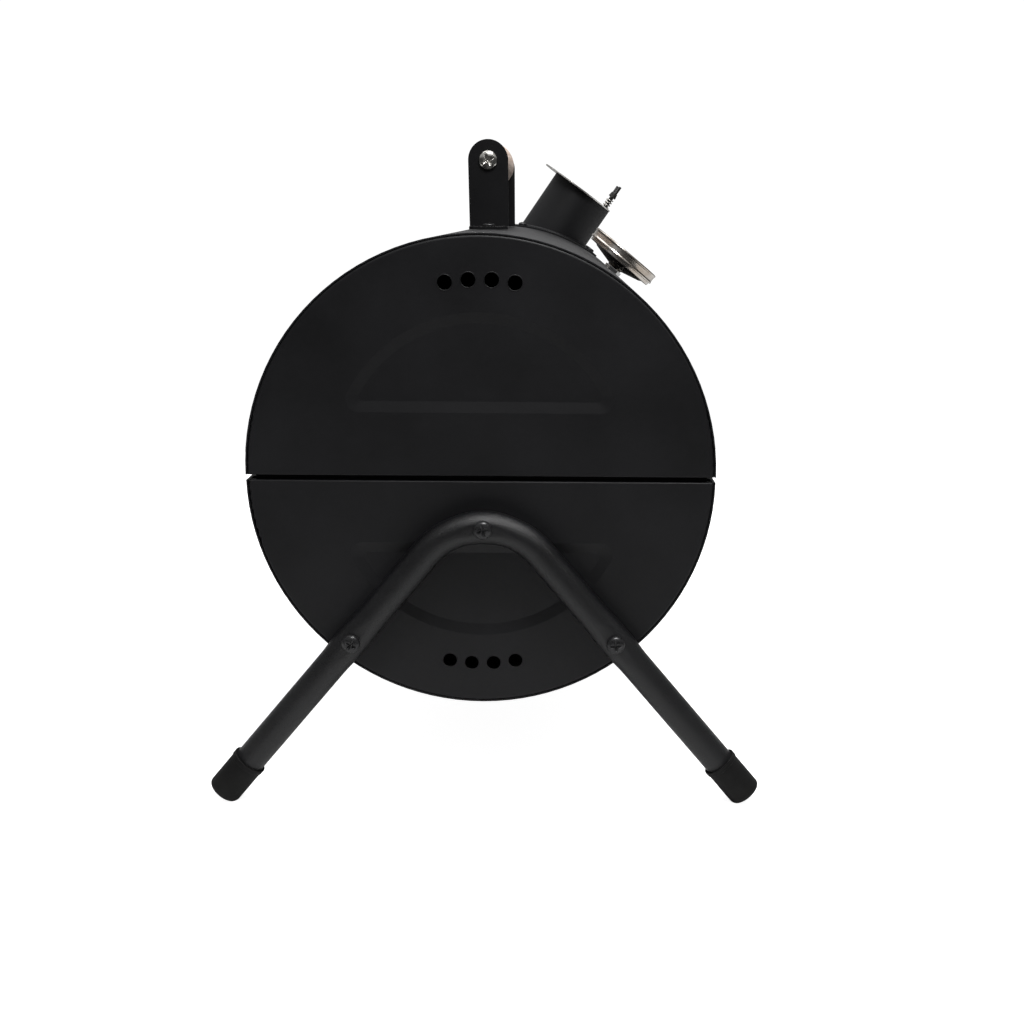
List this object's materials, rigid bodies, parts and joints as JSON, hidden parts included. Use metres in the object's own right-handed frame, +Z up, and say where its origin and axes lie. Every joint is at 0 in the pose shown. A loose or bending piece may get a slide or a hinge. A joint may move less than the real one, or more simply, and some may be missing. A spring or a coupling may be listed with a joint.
{
  "type": "tabletop barrel grill",
  "caption": "Small horizontal drum grill and smoker on two bent tube legs, with a hinged lid, wooden handle, chimney with damper and lid thermometer.",
  "frame": {"origin": "on the ground under the middle of the drum", "axes": "+Z up, +X towards the front with the thermometer, Y along the drum, hinges at the back"},
  "size_m": [0.3672, 0.5864, 0.4333],
  "materials": {
    "black_coat": "matte",
    "leg_coat": "satin",
    "bracket_coat": "satin",
    "black_screw": "gloss",
    "chrome_screw": "polished",
    "zinc": "satin",
    "foot_rubber": "matte",
    "grip_wood": "satin",
    "gauge_steel": "satin",
    "gauge_face": "satin",
    "gauge_glass": "polished",
    "gauge_needle": "satin",
    "damper_steel": "satin",
    "spring_steel": "satin",
    "wing_black": "satin",
    "grate_wire": "satin",
    "cooking_wire": "satin"
  },
  "bodies": {
    "base": {"bottom_end_far": "black_coat", "bottom_end_near": "black_coat", "bottom_shell": "black_coat", "charcoal_rail_front": "black_coat", "charcoal_rail_rear": "black_coat", "cooking_rail_front": "black_coat", "cooking_rail_rear": "black_coat", "foot_cap_far_front": "foot_rubber", "foot_cap_far_rear": "foot_rubber", "foot_cap_near_front": "foot_rubber", "foot_cap_near_rear": "foot_rubber", "hinge_leaf_bottom_far": "black_coat", "hinge_leaf_bottom_near": "black_coat", "hinge_pin_far": "zinc", "hinge_pin_near": "zinc", "leg_nuts_far": "zinc", "leg_nuts_near": "zinc", "leg_screws_far": "black_screw", "leg_screws_near": "black_screw", "leg_tube_far": "leg_coat", "leg_tube_near": "leg_coat", "seam_band": "black_coat"},
    "lid": {"bracket_bolts": "black_screw", "bracket_nuts": "zinc", "chimney_pipe": "black_coat", "chimney_saddle": "black_coat", "damper_screw": "black_screw", "damper_spring": "spring_steel", "handle_bracket_far": "bracket_coat", "handle_bracket_near": "bracket_coat", "handle_grip": "grip_wood", "handle_screw_far": "chrome_screw", "handle_screw_near": "chrome_screw", "hinge_leaf_lid_far": "black_coat", "hinge_leaf_lid_near": "black_coat", "lid_end_far": "black_coat", "lid_end_near": "black_coat", "lid_shell": "black_coat", "saddle_nuts": "zinc", "saddle_screws": "black_screw", "thermometer_bezel": "gauge_steel", "thermometer_case": "gauge_steel", "thermometer_dial": "gauge_face", "thermometer_glass": "gauge_glass", "thermometer_nut_inner": "zinc", "thermometer_nut_outer": "zinc", "thermometer_stem": "gauge_steel"},
    "cooking_grate": {"cooking_grate": "cooking_wire"},
    "charcoal_grate": {"charcoal_grate": "grate_wire"},
    "damper_plate": {"damper_plate": "damper_steel"},
    "wing_nut": {"wing_nut": "wing_black"},
    "thermometer_needle": {"thermometer_needle": "gauge_needle"}
  },
  "joints": [
    {"name": "lid_hinge", "type": "hinge", "parent": "base", "child": "lid", "pos_m": [-0.1542, 0, 0.2175], "axis": [0, -1, 0], "range_deg": [0, 100]},
    {"name": "cooking_grate_lift", "type": "slide", "parent": "base", "child": "cooking_grate", "axis": [0, 0, 1], "range_m": [0, 0.06]},
    {"name": "charcoal_grate_lift", "type": "slide", "parent": "base", "child": "charcoal_grate", "axis": [0, 0, 1], "range_m": [0, 0.05]},
    {"name": "damper_swing", "type": "hinge", "parent": "lid", "child": "damper_plate", "pos_m": [0.09472, 0.205, 0.38539], "axis": [0.5721, 0, 0.8202], "continuous": true},
    {"name": "wing_nut_turn", "type": "hinge", "parent": "lid", "child": "wing_nut", "pos_m": [0.10193, 0.205, 0.39573], "axis": [0.5721, 0, 0.8202], "continuous": true},
    {"name": "thermometer_needle_turn", "type": "hinge", "parent": "lid", "child": "thermometer_needle", "pos_m": [0.10207, 0, 0.34706], "axis": [-0.6239, 0, -0.7815], "range_deg": [0, 270]}
  ]
}
